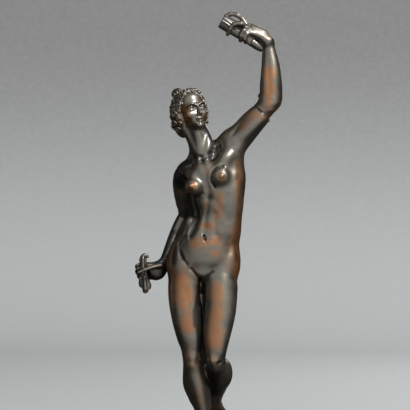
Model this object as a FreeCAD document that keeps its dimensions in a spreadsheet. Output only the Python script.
"""Bronze statuette: a nude woman balancing on a globe, with the stubs of a lost sail in her hands.

Millimetres, +Z up, +X to the figure's left, and she faces -Y. The origin is the centre of the socle's
underside. Anatomical stations are given from the middle of the pelvis, in X and Y, and from the sole of the
standing foot, in Z.
"""
import FreeCAD, Part
import math
import os
import Sketcher
from FreeCAD import Base

Vector = Base.Vector

DIMENSIONS = {
    "stature": 376.0,
    "wall": 5.2,
    "core_gap": 0.15,
    "foot_offset": 8.0,
    "felt_radius": 52.0,
    "felt_thickness": 2.0,
    "socle_radius": 58.0,
    "socle_height": 52.0,
    "plinth_radius": 42.0,
    "plinth_height": 13.0,
    "globe_radius": 31.0,
    "globe_wall": 4.0,
    "foot_bedding": 3.5,
    "rod_radius": 3.0,
    "rod_clearance": 0.3,
    "rod_bite": 13.0,
    "nut_flats": 10.0,
    "nut_height": 5.0,
    "washer_radius": 9.0,
    "washer_thickness": 1.5,
    "recess_radius": 14.0,
    "recess_depth": 12.0,
    "tenon_radius": 3.6,
    "tenon_length": 9.0,
    "tenon_gap": 0.05,
    "elbow_pin_radius": 1.1,
    "rivet_radius": 0.9,
    "plug_radius": 1.3,
    "locating_pin_radius": 1.5,
    "locating_pin_length": 8.0,
    "locating_pin_circle": 11.0,
    "armature_radius": 1.8,
}
CANON_STATURE = 376.0  # the stature that the anatomical stations are written for
SECTION_POINTS = 12  # points on each cross-section's closed curve
FIT = 0.02  # clearance between curved faces that bed on each other

doc = FreeCAD.newDocument("statuette")
dims = doc.addObject("Spreadsheet::Sheet", "dims")
for row, (alias, number) in enumerate(DIMENSIONS.items(), start=1):
    dims.set(f"A{row}", alias)
    dims.set(f"B{row}", str(number))
    dims.setAlias(f"B{row}", alias)
doc.recompute()


def size(alias):
    """The value of one driving dimension, in millimetres."""
    return float(dims.get(alias))


def total(terms):
    """The sum of (alias, factor) terms, as a number."""
    return sum(size(alias) * factor for alias, factor in terms)


def formula(terms):
    """The same sum as an expression on the sheet."""
    return " + ".join(f"dims.{alias} * {factor}" for alias, factor in terms) or "0"


# Heights above the floor, as sums of driving dimensions.
SOCLE_BASE = (("felt_thickness", 1),)
PLINTH_BASE = SOCLE_BASE + (("socle_height", 1),)
GLOBE_BASE = PLINTH_BASE + (("plinth_height", 1),)
GLOBE_CENTRE = GLOBE_BASE + (("globe_radius", 0.88),)
SOLE = GLOBE_CENTRE + (("globe_radius", 1), ("foot_bedding", -1))
CANON = size("stature") / CANON_STATURE


# ---- turned and machined pieces, as PartDesign bodies ----


def new_body(name):
    """A PartDesign body whose label names its file."""
    body = doc.addObject("PartDesign::Body", name)
    body.Label = name
    return body


def plane_of(body, role):
    """One of the body's own origin planes, found by its role."""
    return next(f for f in body.Origin.OriginFeatures if f.Role == role)


def new_sketch(body, name, role):
    sketch = body.newObject("Sketcher::SketchObject", name)
    sketch.AttachmentSupport = [(plane_of(body, role), "")]
    sketch.MapMode = "FlatFace"
    return sketch


def hold(sketch, kind, edge, end, terms):
    """Ties one coordinate of a line's end to a sum of driving dimensions."""
    if not terms:
        on = -2 if kind == "DistanceX" else -1
        sketch.addConstraint(Sketcher.Constraint("PointOnObject", edge, end, on))
        return
    index = sketch.addConstraint(Sketcher.Constraint(kind, -1, 1, edge, end, total(terms)))
    sketch.setExpression(f"Constraints[{index}]", formula(terms))


def outline_sketch(body, name, corners):
    """A closed outline on the XZ plane; each corner is (terms for X, terms for Z)."""
    sketch = new_sketch(body, name, "XZ_Plane")
    points = [Vector(total(x), total(z), 0) for x, z in corners]
    count = len(points)
    for i in range(count):
        sketch.addGeometry(Part.LineSegment(points[i], points[(i + 1) % count]), False)
    for i in range(count):
        sketch.addConstraint(Sketcher.Constraint("Coincident", i, 2, (i + 1) % count, 1))
    for i, (x, z) in enumerate(corners):
        hold(sketch, "DistanceX", i, 1, x)
        hold(sketch, "DistanceY", i, 1, z)
    return sketch


def turned(name, corners, rounds=()):
    """A piece turned on a lathe about Z; rounds are (fillet radius, edge radius, edge height)."""
    body = new_body(name)
    sketch = outline_sketch(body, f"{name}_outline", corners)
    spin = body.newObject("PartDesign::Revolution", f"{name}_turning")
    spin.Profile = sketch
    spin.ReferenceAxis = (sketch, ["V_Axis"])
    spin.Angle = 360
    doc.recompute()
    for n, (fillet, at_radius, at_height) in enumerate(rounds):
        found = edges_at(spin.Shape, total(at_radius), total(at_height))
        smooth = body.newObject("PartDesign::Fillet", f"{name}_round_{n}")
        smooth.Base = (spin, found)
        smooth.setExpression("Radius", formula(fillet))
        doc.recompute()
        spin = smooth
    return body


def edges_at(shape, radius, height):
    """The names of the circular edges of that radius at that height."""
    names = []
    for n, edge in enumerate(shape.Edges, start=1):
        curve = edge.Curve
        if not isinstance(curve, Part.Circle):
            continue
        if abs(curve.Radius - radius) < 1e-3 and abs(curve.Center.z - height) < 1e-3:
            names.append(f"Edge{n}")
    return names


def circle_sketch(body, name, circles):
    """Circles on the XY plane; each is (terms for X, terms for Y, terms for the radius)."""
    sketch = new_sketch(body, name, "XY_Plane")
    for n, (x, y, radius) in enumerate(circles):
        centre = Vector(total(x), total(y), 0)
        sketch.addGeometry(Part.Circle(centre, Vector(0, 0, 1), total(radius)), False)
        index = sketch.addConstraint(Sketcher.Constraint("Radius", n, total(radius)))
        sketch.setExpression(f"Constraints[{index}]", formula(radius))
        hold(sketch, "DistanceX", n, 3, x)
        hold(sketch, "DistanceY", n, 3, y)
    return sketch


def raised(body, sketch, name, kind, length):
    """A pad or pocket of a sketch whose length is a sum of driving dimensions."""
    feature = body.newObject(f"PartDesign::{kind}", name)
    feature.Profile = sketch
    feature.setExpression("Length", formula(length))
    doc.recompute()
    return feature


def lift(sketch, terms):
    """Raises a sketch above its plane."""
    sketch.setExpression(".AttachmentOffset.Base.z", formula(terms))


def make_felt_pad():
    """The felt disc under the socle, with a hole over the nut."""
    body = new_body("felt_pad")
    ring = circle_sketch(
        body,
        "felt_outline",
        [((), (), (("felt_radius", 1),)), ((), (), (("recess_radius", 1),))],
    )
    raised(body, ring, "felt_disc", "Pad", (("felt_thickness", 1),))
    return body


def make_socle():
    """The turned wooden socle: a foot, a scotia between two fillets, and a top torus."""
    bottom, top = SOCLE_BASE, PLINTH_BASE
    wide = (("socle_radius", 1),)
    waist = (("socle_radius", 0.8),)
    neck = (("socle_radius", 0.86),)
    bore = (("rod_radius", 1), ("rod_clearance", 1))
    recess = (("recess_radius", 1),)
    ledge = bottom + (("recess_depth", 1),)
    low = bottom + (("socle_height", 0.26),)
    mid = bottom + (("socle_height", 0.34),)
    high = bottom + (("socle_height", 0.74),)
    cap = bottom + (("socle_height", 0.8),)
    corners = [
        (recess, bottom),
        (wide, bottom),
        (wide, low),
        (neck, mid),
        (waist, mid),
        (waist, high),
        (neck, cap),
        (neck, top),
        (bore, top),
        (bore, ledge),
        (recess, ledge),
    ]
    rounds = [
        ((("socle_height", 0.05),), wide, low),
        ((("socle_height", 0.06),), neck, top),
        ((("socle_height", 0.03),), wide, bottom),
    ]
    return turned("socle", corners, rounds)


def make_plinth():
    """The bronze plinth, turned with a step and a dish for the globe."""
    bottom, top = PLINTH_BASE, GLOBE_BASE
    wide = (("plinth_radius", 1),)
    step = (("plinth_radius", 0.86),)
    shoulder = (("plinth_radius", 0.7),)
    bore = (("rod_radius", 1), ("rod_clearance", 1))
    low = bottom + (("plinth_height", 0.4),)
    mid = bottom + (("plinth_height", 0.62),)
    corners = [
        (bore, bottom),
        (wide, bottom),
        (wide, low),
        (step, mid),
        (shoulder, top),
        (bore, top),
    ]
    rounds = [((("plinth_height", 0.14),), wide, low)]
    return turned("plinth_blank", corners, rounds)


def make_globe_blank():
    """The ball, with the rod's bore through it."""
    ball = doc.addObject("Part::Sphere", "globe_ball")
    ball.setExpression("Radius", "dims.globe_radius")
    ball.setExpression(".Placement.Base.z", formula(GLOBE_CENTRE))
    return ball


def cylinder(name, radius, height, base):
    """A Part cylinder about Z whose radius, height and base are sums of driving dimensions."""
    made = doc.addObject("Part::Cylinder", name)
    made.setExpression("Radius", formula(radius))
    made.setExpression("Height", formula(height))
    made.setExpression(".Placement.Base.z", formula(base))
    return made


def cut(name, base, tool):
    made = doc.addObject("Part::Cut", name)
    made.Base = base
    made.Tool = tool
    made.Label = name
    return made


def make_globe_and_plinth():
    """The globe bedded in its plinth; both are bored for the rod and for the locating pins."""
    ball = make_globe_blank()
    blank = make_plinth()
    dish = doc.addObject("Part::Sphere", "plinth_dish")
    dish.setExpression("Radius", f"dims.globe_radius + {FIT}")
    dish.setExpression(".Placement.Base.z", formula(GLOBE_CENTRE))
    dished = cut("plinth_dished", blank, dish)
    bore = (("rod_radius", 1), ("rod_clearance", 1))
    hollow = doc.addObject("Part::Sphere", "globe_hollow")
    hollow.setExpression("Radius", "dims.globe_radius - dims.globe_wall")
    hollow.setExpression(".Placement.Base.z", formula(GLOBE_CENTRE))
    shell = cut("globe_shell", ball, hollow)
    hole = cylinder("globe_bore", bore, (("globe_radius", 2.2),), GLOBE_CENTRE + (("globe_radius", -1.1),))
    bored = cut("globe_bored", shell, hole)
    pins = [locating_pin_tool(n, side) for n, side in enumerate((-1, 1))]
    both = doc.addObject("Part::MultiFuse", "locating_pins")
    both.Shapes = pins
    both.Label = "locating_pins"
    globe = cut("globe", bored, both)
    plinth = cut("plinth", dished, both)
    return globe, plinth, both


def locating_pin_tool(number, side):
    """One of the two dowels that stop the globe turning on its plinth."""
    pin = doc.addObject("Part::Cylinder", f"locating_pin_{number}")
    pin.setExpression("Radius", "dims.locating_pin_radius")
    pin.setExpression("Height", "dims.locating_pin_length")
    pin.setExpression(".Placement.Base.x", f"dims.locating_pin_circle * {side}")
    base = GLOBE_BASE + (("locating_pin_length", -0.62),)
    pin.setExpression(".Placement.Base.z", formula(base))
    return pin


def make_rod():
    """The steel rod that holds foot, globe, plinth and socle together."""
    body = new_body("mounting_rod")
    start = SOCLE_BASE + (("recess_depth", 1), ("washer_thickness", -1), ("nut_height", -1.3))
    length = SOLE + (("rod_bite", 1),) + tuple((alias, -factor) for alias, factor in start)
    disc = circle_sketch(body, "rod_section", [((), (), (("rod_radius", 1),))])
    lift(disc, start)
    pad = raised(body, disc, "rod_length", "Pad", length)
    bevel = body.newObject("PartDesign::Chamfer", "rod_ends")
    bevel.Base = (pad, [f"Edge{n}" for n, e in enumerate(pad.Shape.Edges, 1) if e.Closed])
    bevel.setExpression("Size", "dims.rod_radius * 0.2")
    doc.recompute()
    return body


def make_washer():
    body = new_body("rod_washer")
    bore = (("rod_radius", 1), ("rod_clearance", 0.5))
    ring = circle_sketch(body, "washer_outline", [((), (), (("washer_radius", 1),)), ((), (), bore)])
    lift(ring, SOCLE_BASE + (("recess_depth", 1), ("washer_thickness", -1)))
    raised(body, ring, "washer_disc", "Pad", (("washer_thickness", 1),))
    return body


def make_nut():
    """The hexagonal nut under the socle, bored to the rod's size where the threads meet."""
    body = new_body("rod_nut")
    sketch = new_sketch(body, "nut_outline", "XY_Plane")
    reach = size("nut_flats") / math.sqrt(3)
    turns = [math.pi / 3 * k for k in range(6)]
    corners = [Vector(reach * math.cos(a), reach * math.sin(a), 0) for a in turns]
    for k in range(6):
        sketch.addGeometry(Part.LineSegment(corners[k], corners[(k + 1) % 6]), False)
    guide = sketch.addGeometry(Part.Circle(Vector(), Vector(0, 0, 1), reach), True)
    sketch.addConstraint(Sketcher.Constraint("Coincident", guide, 3, -1, 1))
    for k in range(6):
        sketch.addConstraint(Sketcher.Constraint("Coincident", k, 2, (k + 1) % 6, 1))
        sketch.addConstraint(Sketcher.Constraint("PointOnObject", k, 1, guide))
    for k in range(1, 6):
        sketch.addConstraint(Sketcher.Constraint("Equal", 0, k))
    sketch.addConstraint(Sketcher.Constraint("PointOnObject", 0, 1, -1))
    index = sketch.addConstraint(Sketcher.Constraint("Radius", guide, reach))
    sketch.setExpression(f"Constraints[{index}]", "dims.nut_flats / sqrt(3)")
    bore = sketch.addGeometry(Part.Circle(Vector(), Vector(0, 0, 1), size("rod_radius")), False)
    sketch.addConstraint(Sketcher.Constraint("Coincident", bore, 3, -1, 1))
    index = sketch.addConstraint(Sketcher.Constraint("Radius", bore, size("rod_radius")))
    sketch.setExpression(f"Constraints[{index}]", f"dims.rod_radius + {FIT}")
    lift(sketch, SOCLE_BASE + (("recess_depth", 1), ("washer_thickness", -1), ("nut_height", -1)))
    raised(body, sketch, "nut_block", "Pad", (("nut_height", 1),))
    return body


# ---- castings, lofted through anatomical stations ----


def at(x, y, z):
    """A point of the figure: from the pelvis's middle and the standing sole to the row frame."""
    return Vector((x - size("foot_offset")) * CANON, y * CANON, total(SOLE) + z * CANON)


def section(centre, across, through, half_width, half_depth):
    """A closed elliptical curve about a centre, in the plane of two directions."""
    points = []
    for k in range(SECTION_POINTS):
        turn = 2 * math.pi * k / SECTION_POINTS
        side = across * (half_width * CANON * math.cos(turn))
        points.append(centre + side + through * (half_depth * CANON * math.sin(turn)))
    curve = Part.BSplineCurve()
    curve.interpolate(points, PeriodicFlag=True)
    return Part.Wire([curve.toShape()])


def limb(stations, reference=Vector(0, 1, 0), shrink=0.0):
    """A solid lofted through stations (x, y, z, half width, half depth), square to the line through them."""
    centres = [at(*s[:3]) for s in stations]
    last = len(centres) - 1
    wires = []
    for i, s in enumerate(stations):
        along = (centres[min(i + 1, last)] - centres[max(i - 1, 0)]).normalize()
        across = reference.cross(along).normalize()
        through = along.cross(across)
        wires.append(section(centres[i], across, through, s[3] - shrink, s[4] - shrink))
    return Part.makeLoft(wires, True, False)


def level_limb(stations, shrink=0.0):
    """A solid lofted through level stations (x, y, z, half width, half depth, turn in degrees)."""
    wires = []
    for x, y, z, half_width, half_depth, turn in stations:
        a = math.radians(turn)
        across = Vector(math.cos(a), -math.sin(a), 0)
        through = Vector(math.sin(a), math.cos(a), 0)
        wires.append(section(at(x, y, z), across, through, half_width - shrink, half_depth - shrink))
    return Part.makeLoft(wires, True, False)


def ball(x, y, z, radius):
    return Part.makeSphere(radius * CANON, at(x, y, z))


def egg(x, y, z, rx, ry, rz, yaw=0.0, pitch=0.0, roll=0.0):
    """An ellipsoid with three half axes, turned by yaw, pitch and roll."""
    matrix = Base.Matrix()
    matrix.scale(rx * CANON, ry * CANON, rz * CANON)
    shape = Part.makeSphere(1.0).transformGeometry(matrix)
    shape.Placement = Base.Placement(at(x, y, z), Base.Rotation(yaw, pitch, roll))
    return shape


TORSO = [
    (0, 3, 176, 33, 19, 0),
    (0, 3, 190, 36, 23, 0),
    (1, 3, 204, 35.5, 23, 0),
    (3.4, 2, 218, 32.6, 20.6, 3),
    (8, 0, 232, 29.6, 18.2, 7),
    (14, -1, 246, 25, 17.2, 11),
    (14.2, 0, 262, 27, 18.6, 15),
    (13, 2, 278, 29, 19.8, 18),
    (12, 4, 294, 28.6, 17.8, 18),
    (8, 6, 305, 24, 14, 16),
    (3.6, 6, 314, 14, 10, 10),
]
NECK = [(3, 6, 304, 12, 11), (-3, 4, 318, 10, 10), (-8, 2, 330, 10, 10), (-11, 1, 342, 10.5, 11)]
STANDING_LEG = [
    (-15, 3, 204, 17, 18),
    (-18, 2, 186, 18, 20),
    (-19, 0, 168, 16, 18.5),
    (-18, -2, 150, 14, 16.5),
    (-16, -4, 132, 11.5, 13.5),
    (-12.5, -5, 116, 9.5, 11),
    (-11, -4, 104, 9, 10.5),
    (-9, 0, 90, 10.5, 12),
    (-6, 4, 78, 10.5, 12.5),
    (-1, 6, 60, 9, 10.5),
    (3, 7, 40, 6.5, 7.5),
    (6, 7, 22, 5.4, 6.5),
    (8, 6, 10, 6.5, 9),
]
STANDING_FOOT = [
    (9, 17, 3, 5, 5),
    (8.8, 10, 5.5, 6.4, 7.5),
    (8, -4, 7.5, 7.5, 8),
    (7, -16, 4, 9, 5.5),
    (6, -26, -1, 9.5, 3.8),
    (5.4, -34, -5.5, 7.5, 2.8),
]
FREE_THIGH = [
    (15, 4, 204, 18, 18),
    (17.5, 2, 188, 18, 20),
    (18, -2, 168, 16.5, 18.5),
    (18, -6, 150, 14.5, 16.5),
    (16.5, -10, 132, 12, 14),
    (14.5, -13, 116, 10.5, 11.5),
    (13, -12, 104, 10, 10.5),
]
FREE_SHIN = [
    (12.8, -14, 106.4, 9, 9.5),
    (13.6, -4, 99.4, 10, 10),
    (15, 8, 92, 11.4, 11.2),
    (15.2, 20, 84, 11.4, 11.2),
    (14, 32, 75.4, 10, 10),
    (12.6, 44, 66.6, 8.2, 8.2),
    (12, 54, 59.4, 6.8, 6.8),
    (12.4, 63, 53, 6.2, 6.6),
]
FREE_FOOT = [
    (12.8, 59, 62, 4.8, 4.5),
    (14.4, 66, 54, 6, 6.8),
    (18.6, 74.6, 45.6, 6.8, 6.2),
    (24.6, 83, 40.6, 7.8, 5.2),
    (30.6, 90.6, 39.4, 8.6, 4.2),
    (36, 97, 40.4, 7.8, 3.2),
]
RAISED_UPPER_ARM = [
    (16, 8, 312, 13, 12),
    (27, 6, 324, 12.5, 12),
    (37, 3, 333, 10.5, 11),
    (50, 0, 344, 9.6, 9.6),
    (59, -2, 352, 9.4, 9),
    (65, -3, 358, 9.6, 9),
]
RAISED_FOREARM = [
    (66, -3, 357, 10.6, 9),
    (68, -3, 366, 10.4, 9),
    (68, -3, 382, 10.4, 9),
    (67, -3, 396, 9.4, 8),
    (65.5, -3, 410, 7.2, 6.2),
    (65, -3, 420, 5.4, 5),
    (64, -3, 427, 5.2, 5.2),
]
RAISED_PALM = [
    (65, -3, 421, 5.4, 5.2),
    (60.4, -3.6, 427.4, 6.4, 5.4),
    (53.6, -4.6, 431.4, 6.6, 5.2),
    (47, -5.4, 433.8, 6.4, 4.8),
    (43, -5.8, 435.2, 5, 4),
]
RAISED_FINGERS = [
    [(44, -4, 438, 2.6, 2.6), (39, -3, 446, 2.3, 2.3), (31, -2, 449.4, 2.2, 2.2), (23, -1.4, 447, 2, 2)],
    [(45, -9, 437, 2.6, 2.6), (37, -12, 440, 2.4, 2.4), (29, -11.6, 437.4, 2.2, 2.2), (24.6, -9, 430, 2, 2)],
    [(47, -8.6, 434.4, 2.6, 2.6), (40.6, -11.4, 432, 2.5, 2.5), (37.6, -9.4, 424.6, 2.2, 2.2)],
    [(49.6, -8.6, 431, 2.6, 2.6), (44, -10.6, 428.6, 2.5, 2.5), (42.4, -8.6, 421.8, 2.1, 2.1)],
    [
        (56, 1.4, 428, 2.8, 2.8),
        (48.6, 3.6, 435, 2.6, 2.6),
        (40, 3.8, 440.4, 2.4, 2.4),
        (33, 2.4, 441.6, 2.1, 2.1),
    ],
]
RAISED_STUB = [
    (60.4, -1, 415, 3.8, 3.6),
    (52, -2.4, 420, 4.8, 4.8),
    (44, -3.2, 426.2, 5.4, 5.2),
    (36, -3.6, 431.8, 6.4, 5.6),
    (27, -4, 437.4, 7.2, 6),
    (17, -4.2, 443, 7.6, 6.2),
]
LOWERED_UPPER_ARM = [
    (-9, 9, 299.6, 10, 11),
    (-17, 11, 293, 10.2, 11.4),
    (-21, 15, 283.6, 9, 10.2),
    (-20, 23, 271, 8, 8.8),
    (-18.6, 32, 258, 7.4, 7.8),
    (-18, 38, 248, 6.8, 7),
]
LOWERED_FOREARM = [
    (-18, 38, 249, 6.4, 6.6),
    (-22.6, 36, 240, 6.4, 6.6),
    (-28, 31, 229, 5.8, 6.2),
    (-34, 22, 216, 4.8, 5.2),
    (-38, 15, 206.6, 4.4, 5),
]
LOWERED_PALM = [
    (-37, 15, 206, 5.4, 4.6),
    (-41.6, 11, 199.4, 7.6, 5.4),
    (-47, 7.4, 195, 9, 6),
    (-52.6, 4.6, 193.8, 8.8, 6.2),
    (-56, 3.4, 193.8, 7.4, 5.2),
]
LOWERED_FINGERS = [
    [
        (-54, 8, 198.6, 2.3, 2.3),
        (-61.6, 8.2, 199, 2.2, 2.2),
        (-66, 4, 197.6, 2, 2),
        (-65.6, -1, 195.4, 1.8, 1.8),
    ],
    [
        (-54, 8, 193.8, 2.3, 2.3),
        (-61.8, 8.6, 194, 2.2, 2.2),
        (-66, 4.6, 192.8, 2, 2),
        (-65.4, 0, 190.8, 1.8, 1.8),
    ],
    [
        (-53, 8.4, 189.4, 2.2, 2.2),
        (-60, 9.4, 188.8, 2.1, 2.1),
        (-64, 6, 187.4, 1.9, 1.9),
        (-63, 2, 186, 1.7, 1.7),
    ],
    [(-52, 8.4, 186.6, 2, 2), (-57.4, 9.8, 185.2, 1.9, 1.9), (-61, 7.6, 183.8, 1.7, 1.7)],
    [
        (-43, 0.6, 199.6, 2.8, 2.8),
        (-50, -3.2, 197.4, 2.5, 2.5),
        (-58, -5.2, 194.6, 2.2, 2.2),
        (-63.6, -4, 192, 2, 2),
    ],
]
LOWERED_STUB = [
    (-57.8, 2, 210.4, 2.2, 2.2),
    (-59.8, 2.4, 206.6, 3.4, 3.2),
    (-59.4, 3.4, 198, 3.8, 3.5),
    (-59.4, 4.4, 190, 4.4, 3.8),
    (-58.6, 5.4, 180, 6, 4),
    (-57.6, 6, 171, 2.2, 2.4),
]
CORE = (2, 9)  # the torso stations that the clay core runs between
ARMATURE = ((3, 3, 208), (12, 3, 288))
ELBOW_RAISED = (65, -3, 357)
ELBOW_LOWERED = (-18, 38, 248.5)
SHOULDER_RAISED = (30, 5, 327)
SHOULDER_LOWERED = (-21, 17, 282)
ELBOW_PIN_RAISED = ((61.3, -10.5, 353.8), (61.3, 6.3, 353.8))
ELBOW_PIN_LOWERED = ((-24.6, 35.3, 252.7), (-12.4, 35.3, 252.7))
RIVET_RAISED = ((51, -4, 434), (47, -3, 425))
RIVET_LOWERED = ((-51, 4, 195), (-59.5, 4, 195))
PLUG_PLACES = [
    ((-6, -22, 214), (0, 1, 0)),
    ((38, 2, 276), (-1, 0, 0)),
    ((-19, -17.5, 164), (0, 1, 0)),
    ((18, -23, 160), (0, 1, 0)),
    ((6, 21, 282), (0, -1, 0)),
    ((19, 25.5, 186), (0, -1, 0)),
]


def casting(name, shape):
    """A Part::Feature that holds a casting's own shape."""
    made = doc.addObject("Part::Feature", name)
    made.Label = name
    made.Shape = shape
    return made


def united(shapes):
    """The shapes fused one after another."""
    whole = shapes[0]
    for shape in shapes[1:]:
        whole = whole.fuse(shape)
    return whole


def one_solid(shape):
    """The shape's largest solid, for a casting that is one piece of metal."""
    return max(shape.Solids, key=lambda s: s.Volume)


def pin_between(ends, radius):
    """A round pin of that radius from one place on the figure to another."""
    start, end = (at(*place) for place in ends)
    axis = end - start
    return Part.makeCylinder(radius, axis.Length, start, axis)


def head_shapes():
    """Head, hair cap, knot and face, as plain eggs; the head turns to her left and tips back."""
    return [
        egg(-11.4, -2, 353, 14, 17, 19, yaw=26),
        egg(-14, 4, 352, 17, 18.5, 20.5, yaw=26),
        egg(-6, -12, 346, 9, 9, 13, yaw=26),
        egg(-24.4, 8, 370, 6.6, 6.6, 6.6),
        egg(-20, 12, 340, 11, 10, 13),
    ]


def figure_shape():
    """Torso, head, legs and both upper arms, cast in one."""
    shapes = [
        level_limb(TORSO),
        limb(NECK),
        limb(STANDING_LEG),
        limb(FREE_THIGH),
        limb(FREE_SHIN, Vector(0, 0, 1)),
        limb(FREE_FOOT, Vector(0, 0, 1)),
        limb(STANDING_FOOT, Vector(0, 0, 1)),
        limb(RAISED_UPPER_ARM),
        limb(LOWERED_UPPER_ARM),
        ball(13, -11, 104.6, 10.9),
        ball(12.6, 62, 56, 6.9),
        ball(*ELBOW_RAISED, 9.2),
        ball(*ELBOW_LOWERED, 6.6),
        ball(-9, -15, 281, 9),
        ball(19, -16, 289, 9.3),
        egg(-16, 14, 194, 18, 15, 18),
        egg(17, 14, 190, 17, 15, 18),
    ]
    body = united(shapes + head_shapes())
    bedding = Part.makeSphere(size("globe_radius") + FIT, Vector(0, 0, total(GLOBE_CENTRE)))
    return one_solid(body.cut(bedding))


def core_shape(clearance=0.0):
    """What is left of the clay core inside the torso."""
    low, high = CORE
    return level_limb(TORSO[low:high], shrink=size("wall") + clearance)


def tenon(place, toward, gap=0.0):
    """The tapered plug on a forearm that enters the upper arm, from the elbow towards the shoulder."""
    start = at(*place)
    direction = (at(*toward) - start).normalize()
    root = size("tenon_radius") * 0.5
    radius = size("tenon_radius")
    length = size("tenon_length") + gap + root
    return Part.makeCone(radius + gap, radius * 0.8 + gap, length, start - direction * root, direction)


def beyond_elbow(place, toward):
    """Everything on the shoulder's side of an elbow joint, as a large block."""
    reach = size("stature") * 0.16
    start = at(*place)
    direction = (at(*toward) - start).normalize()
    return Part.makeCylinder(reach / 2, reach, start, direction)


def forearm_shape(stations, elbow, radius, palm, toward):
    """A forearm with its rounded elbow and its palm, trimmed at the joint."""
    whole = united([limb(stations), ball(*elbow, radius), limb(palm)])
    return one_solid(whole.cut(beyond_elbow(elbow, toward)))


def joined_arms(figure):
    """The figure and both forearms, fitted to each other with tenons in sockets."""
    right = forearm_shape(LOWERED_FOREARM, ELBOW_LOWERED, 6.7, LOWERED_PALM, SHOULDER_LOWERED)
    left = forearm_shape(RAISED_FOREARM, ELBOW_RAISED, 9.6, RAISED_PALM, SHOULDER_RAISED)
    gap = size("tenon_gap")
    figure = one_solid(figure.cut(left).cut(right))
    figure = figure.cut(tenon(ELBOW_RAISED, SHOULDER_RAISED, gap))
    figure = figure.cut(tenon(ELBOW_LOWERED, SHOULDER_LOWERED, gap))
    left = left.fuse(tenon(ELBOW_RAISED, SHOULDER_RAISED))
    right = right.fuse(tenon(ELBOW_LOWERED, SHOULDER_LOWERED))
    return figure, left, right


def core_plugs(figure):
    """The plugs in the holes of the core's pins, each flush with the bronze inside and out."""
    plugs = []
    reach = size("wall") * 1.2
    for place, inward in PLUG_PLACES:
        direction = Vector(*inward)
        start = at(*place) - direction * reach
        tool = Part.makeCylinder(size("plug_radius"), reach * 2.3, start, direction)
        plugs.append(one_solid(tool.common(figure)))
    return plugs


def castings():
    """Every cast, pinned or filled piece of the figure, by name."""
    figure, forearm_raised, forearm_lowered = joined_arms(figure_shape())

    stub_raised = limb(RAISED_STUB)
    stub_lowered = limb(LOWERED_STUB)
    hand_raised = united([forearm_raised, *[limb(f) for f in RAISED_FINGERS]])
    hand_lowered = united([forearm_lowered, *[limb(f, Vector(0, 0, 1)) for f in LOWERED_FINGERS]])
    forearm_raised = one_solid(hand_raised.cut(stub_raised))
    forearm_lowered = one_solid(hand_lowered.cut(stub_lowered))

    rod = doc.getObject("mounting_rod").Shape
    figure = figure.cut(rod)
    figure = figure.cut(core_shape())
    armature = pin_between(ARMATURE, size("armature_radius"))
    core = core_shape(size("core_gap")).cut(armature)

    pin_raised = pin_between(ELBOW_PIN_RAISED, size("elbow_pin_radius"))
    pin_lowered = pin_between(ELBOW_PIN_LOWERED, size("elbow_pin_radius"))
    figure = figure.cut(pin_raised).cut(pin_lowered)
    forearm_raised = forearm_raised.cut(pin_raised)
    forearm_lowered = forearm_lowered.cut(pin_lowered)

    rivet_raised = pin_between(RIVET_RAISED, size("rivet_radius"))
    rivet_lowered = pin_between(RIVET_LOWERED, size("rivet_radius"))
    plugs = core_plugs(figure)
    for plug in plugs:
        figure = figure.cut(plug)

    return {
        "figure_casting": figure,
        "torso_core": core,
        "core_armature": armature,
        "raised_forearm": forearm_raised.cut(rivet_raised),
        "raised_elbow_pin": pin_raised,
        "lowered_forearm": forearm_lowered.cut(rivet_lowered),
        "lowered_elbow_pin": pin_lowered,
        "raised_sail_stub": stub_raised.cut(rivet_raised),
        "lowered_sail_stub": stub_lowered.cut(rivet_lowered),
        "raised_stub_rivet": rivet_raised,
        "lowered_stub_rivet": rivet_lowered,
        "core_pin_plugs": Part.makeCompound(plugs),
    }


def main():
    """Builds every piece, checks it and writes its STEP file."""
    made = [make_felt_pad(), make_socle(), *make_globe_and_plinth(), make_rod(), make_washer(), make_nut()]
    doc.recompute()
    for name, shape in castings().items():
        made.append(casting(name, shape))
    doc.recompute()

    os.makedirs("parts", exist_ok=True)
    for thing in doc.Objects:
        if "Invalid" in thing.State or "Error" in thing.State:
            raise RuntimeError(f"{thing.Name} failed: {thing.State}")
    for thing in made:
        shape = thing.Shape
        if shape.isNull() or not shape.isValid():
            raise RuntimeError(f"{thing.Label} has no valid shape")
        print(thing.Label, len(shape.Solids), "solids", round(shape.Volume), "mm3")
        shape.exportStep(f"parts/{thing.Label}.step")


main()
